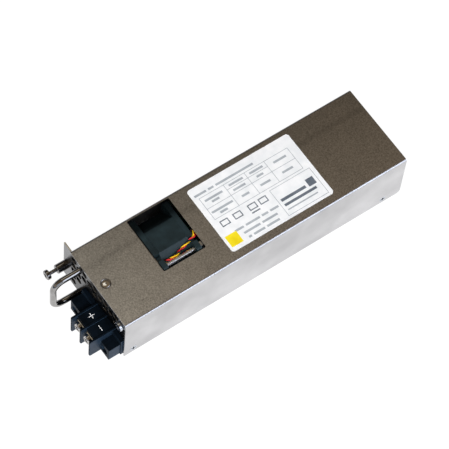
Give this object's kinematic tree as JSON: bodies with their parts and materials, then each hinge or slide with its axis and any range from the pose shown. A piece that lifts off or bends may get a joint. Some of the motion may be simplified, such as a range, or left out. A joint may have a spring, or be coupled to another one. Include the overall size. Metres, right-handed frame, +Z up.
{
  "type": "router power supply module",
  "caption": "Plug-in power supply module: folded metal case with a perforated front, bar handle, barrier terminals, captive screw and an axial fan set into the case.",
  "frame": {"origin": "centre of the case's underside", "axes": "+X from the flange side to the plain side, +Y from the front panel to the rear contact tongue, +Z up"},
  "size_m": [0.0688, 0.2402, 0.0403],
  "materials": {
    "galvanised_steel": "bare galvanised sheet with a fine spangle",
    "panel_steel": "bright plated sheet",
    "chrome_bar": "polished chrome plate",
    "nickel_steel": "nickel plated steel",
    "terminal_plastic": "black glass-filled moulding",
    "clamp_brass": "plated brass stamping",
    "contact_brass": "brass",
    "label_film": "white film label",
    "fan_plastic": "black glass-filled moulding",
    "ferrite": "sintered ferrite, dark grey",
    "core_steel": "laminated core steel",
    "copper_wire": "enamelled copper wire",
    "bolt_zinc": "bright zinc plate",
    "wire_insulation": "coloured wire insulation",
    "white_plastic": "natural nylon",
    "board_laminate": "glass laminate under green solder resist",
    "gold_plate": "gold plated copper",
    "can_sleeve": "shrink sleeve",
    "sink_aluminium": "extruded aluminium",
    "chip_plastic": "moulded package",
    "winding_tape": "yellow polyester tape"
  },
  "bodies": {
    "chassis": {"base_tray": "galvanised_steel", "board_standoffs": "contact_brass", "captive_screw_barrel": "nickel_steel", "choke_core": "ferrite", "choke_windings": "copper_wire", "contact_negative": "contact_brass", "contact_positive": "contact_brass", "control_chips": "chip_plastic", "cover_screw": "nickel_steel", "earth_screw": "nickel_steel", "earth_washer": "nickel_steel", "edge_contacts": "gold_plate", "fan_bearing": "contact_brass", "fan_bolts": "bolt_zinc", "fan_bracket": "galvanised_steel", "fan_coils": "copper_wire", "fan_frame": "fan_plastic", "fan_header": "white_plastic", "fan_lead": "wire_insulation", "fan_nuts": "bolt_zinc", "fan_plug": "white_plastic", "fan_stator": "core_steel", "front_panel": "panel_steel", "handle": "chrome_bar", "input_capacitors": "can_sleeve", "label": "label_film", "main_board": "board_laminate", "output_capacitors": "can_sleeve", "power_transistors": "chip_plastic", "primary_heatsink": "sink_aluminium", "rectifiers": "chip_plastic", "secondary_heatsink": "sink_aluminium", "terminal_block": "terminal_plastic", "terminal_mount_screws": "nickel_steel", "top_cover": "galvanised_steel", "transformer_core": "ferrite", "transformer_winding": "winding_tape"},
    "fan_rotor": {"fan_impeller": "fan_plastic", "fan_magnet": "ferrite", "fan_shaft": "nickel_steel"},
    "captive_slider": {"captive_screw_ring": "nickel_steel"},
    "captive_turner": {"captive_screw": "nickel_steel"},
    "positive_clamp": {"clamp_plate_positive": "clamp_brass"},
    "positive_screw": {"terminal_screw_positive": "nickel_steel"},
    "negative_clamp": {"clamp_plate_negative": "clamp_brass"},
    "negative_screw": {"terminal_screw_negative": "nickel_steel"}
  },
  "joints": [
    {"name": "fan_spin", "type": "hinge", "parent": "chassis", "child": "fan_rotor", "pos_m": [-0.00825, -0.0641, 0.0201], "axis": [0, 1, 0], "continuous": true},
    {"name": "captive_push", "type": "slide", "parent": "chassis", "child": "captive_slider", "axis": [0, 1, 0], "range_m": [0, 0.0049]},
    {"name": "captive_turn", "type": "hinge", "parent": "captive_slider", "child": "captive_turner", "pos_m": [-0.0344, -0.104, 0.0172], "axis": [0, 1, 0], "continuous": true},
    {"name": "positive_clamp_lift", "type": "slide", "parent": "chassis", "child": "positive_clamp", "axis": [0, 1, 0], "range_m": [-0.0015, 0.001]},
    {"name": "positive_screw_turn", "type": "hinge", "parent": "positive_clamp", "child": "positive_screw", "pos_m": [0.00367, -0.1195, 0.0118], "axis": [0, 1, 0], "range_deg": [-903, 603]},
    {"name": "negative_clamp_lift", "type": "slide", "parent": "chassis", "child": "negative_clamp", "axis": [0, 1, 0], "range_m": [-0.0015, 0.001]},
    {"name": "negative_screw_turn", "type": "hinge", "parent": "negative_clamp", "child": "negative_screw", "pos_m": [0.01353, -0.1195, 0.0118], "axis": [0, 1, 0], "range_deg": [-903, 603]}
  ],
  "couplings": [
    {"joint": "positive_screw_turn", "follows": "positive_clamp_lift", "rad_per_m": 10472},
    {"joint": "negative_screw_turn", "follows": "negative_clamp_lift", "rad_per_m": 10472}
  ]
}
